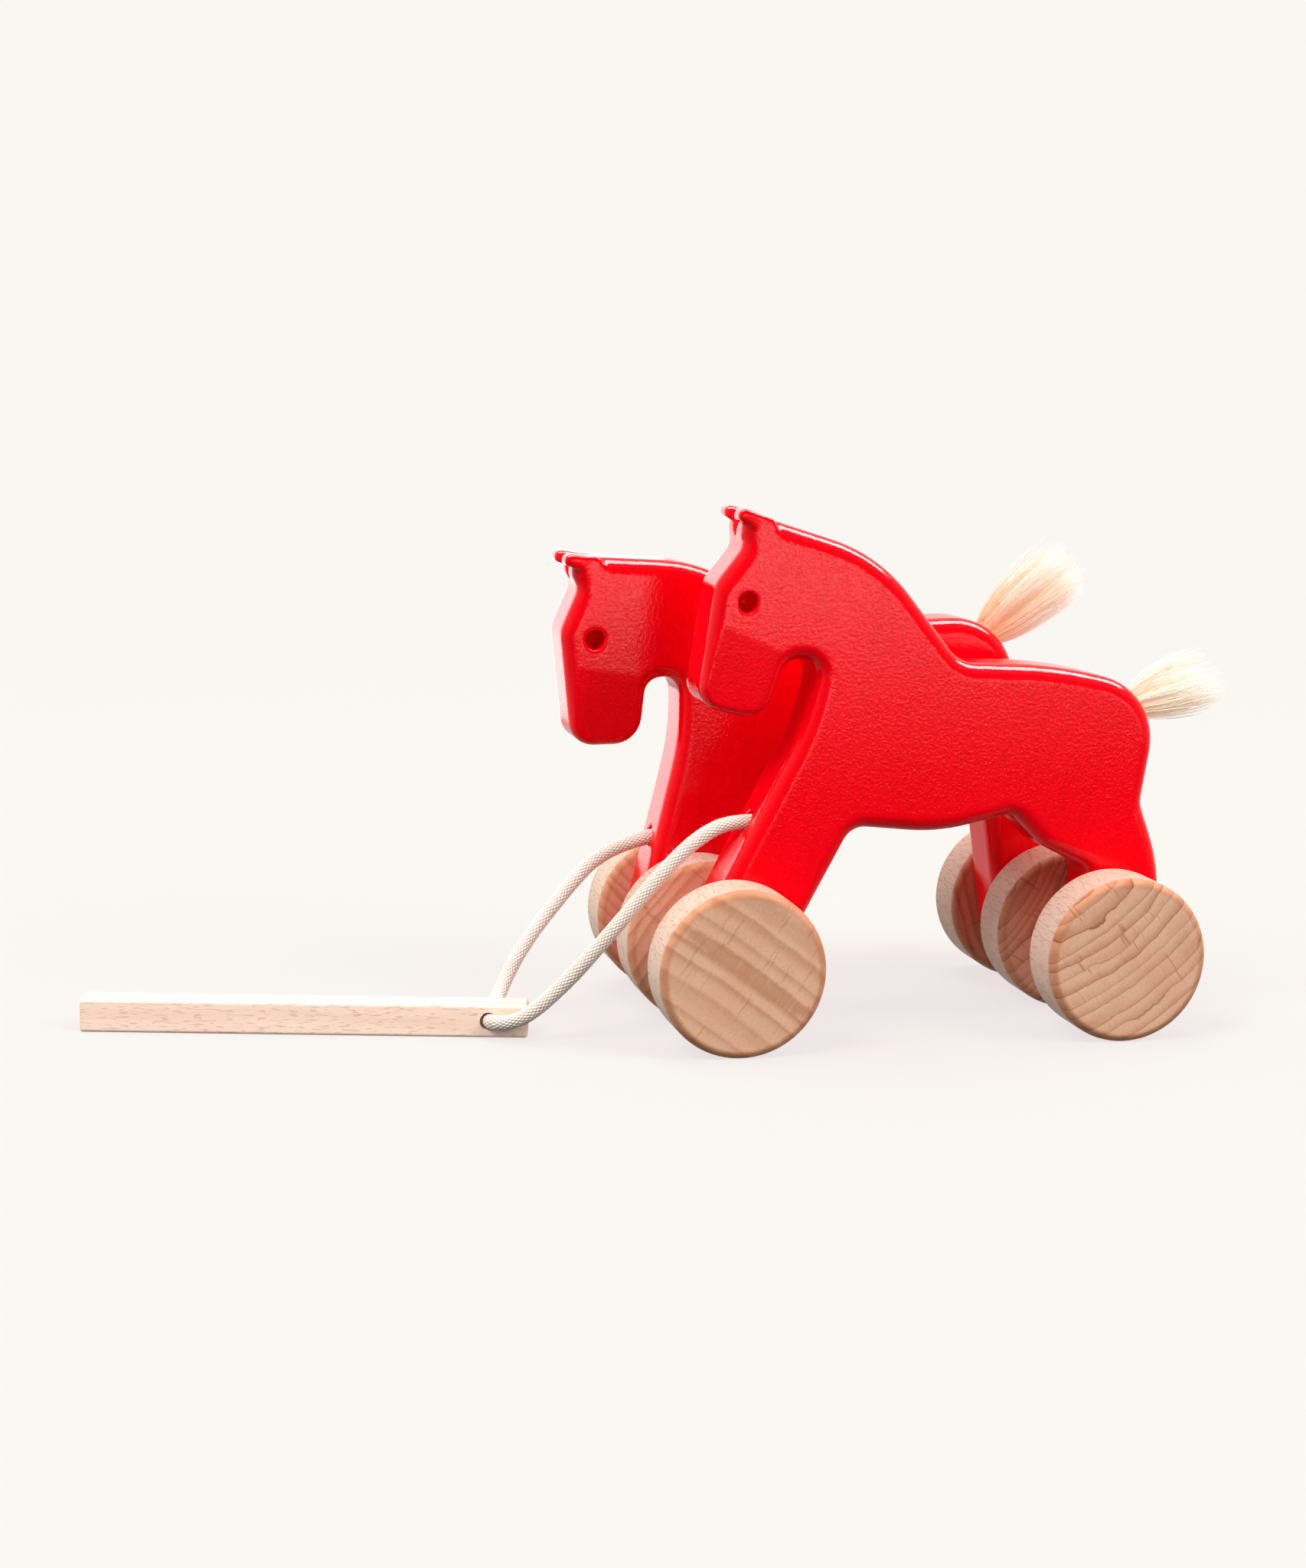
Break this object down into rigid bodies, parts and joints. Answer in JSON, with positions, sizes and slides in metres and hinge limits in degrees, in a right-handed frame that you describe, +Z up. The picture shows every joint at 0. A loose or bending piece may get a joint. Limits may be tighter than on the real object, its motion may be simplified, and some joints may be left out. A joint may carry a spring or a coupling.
{
  "type": "pull along toy",
  "caption": "Wooden pull-along toy: horse-shaped boards that gallop on off-centre dowels between wheels, with a cotton pull cord and a square handle.",
  "frame": {"origin": "on the floor, below the middle of the toy without its cords and handle", "axes": "+X towards the tails, +Y from the near horse to the far horse, +Z up"},
  "size_m": [0.3481, 0.104, 0.1574],
  "materials": {
    "lacquered_wood": "satin",
    "wood": "satin",
    "handle_wood": "satin",
    "cord": "matte"
  },
  "bodies": {
    "near_horse": {"near_horse_body": "lacquered_wood", "near_tail": "cord", "near_pull_cord": "cord", "pull_handle": "handle_wood"},
    "front_wheels": {"front_near_wheel": "wood", "front_middle_wheel": "wood", "front_far_wheel": "wood", "front_near_dowel": "wood", "front_far_dowel": "wood"},
    "rear_wheels": {"rear_near_wheel": "wood", "rear_middle_wheel": "wood", "rear_far_wheel": "wood", "rear_near_dowel": "wood", "rear_far_dowel": "wood"},
    "far_horse": {"far_horse_body": "lacquered_wood", "far_tail": "cord", "far_pull_cord": "cord"}
  },
  "joints": [
    {"name": "front_wheels_roll", "type": "hinge", "parent": "near_horse", "child": "front_wheels", "pos_m": [-0.05632, 0, 0.02818], "axis": [0, 1, 0], "continuous": true},
    {"name": "rear_wheels_roll", "type": "hinge", "parent": "near_horse", "child": "rear_wheels", "pos_m": [0.06268, 0, 0.02818], "axis": [0, 1, 0], "continuous": true},
    {"name": "far_horse_gallop", "type": "hinge", "parent": "front_wheels", "child": "far_horse", "pos_m": [-0.06268, 0, 0.02182], "axis": [0, 1, 0], "continuous": true}
  ],
  "couplings": [
    {"joint": "rear_wheels_roll", "follows": "front_wheels_roll", "ratio": 1},
    {"joint": "far_horse_gallop", "follows": "front_wheels_roll", "ratio": -1}
  ]
}
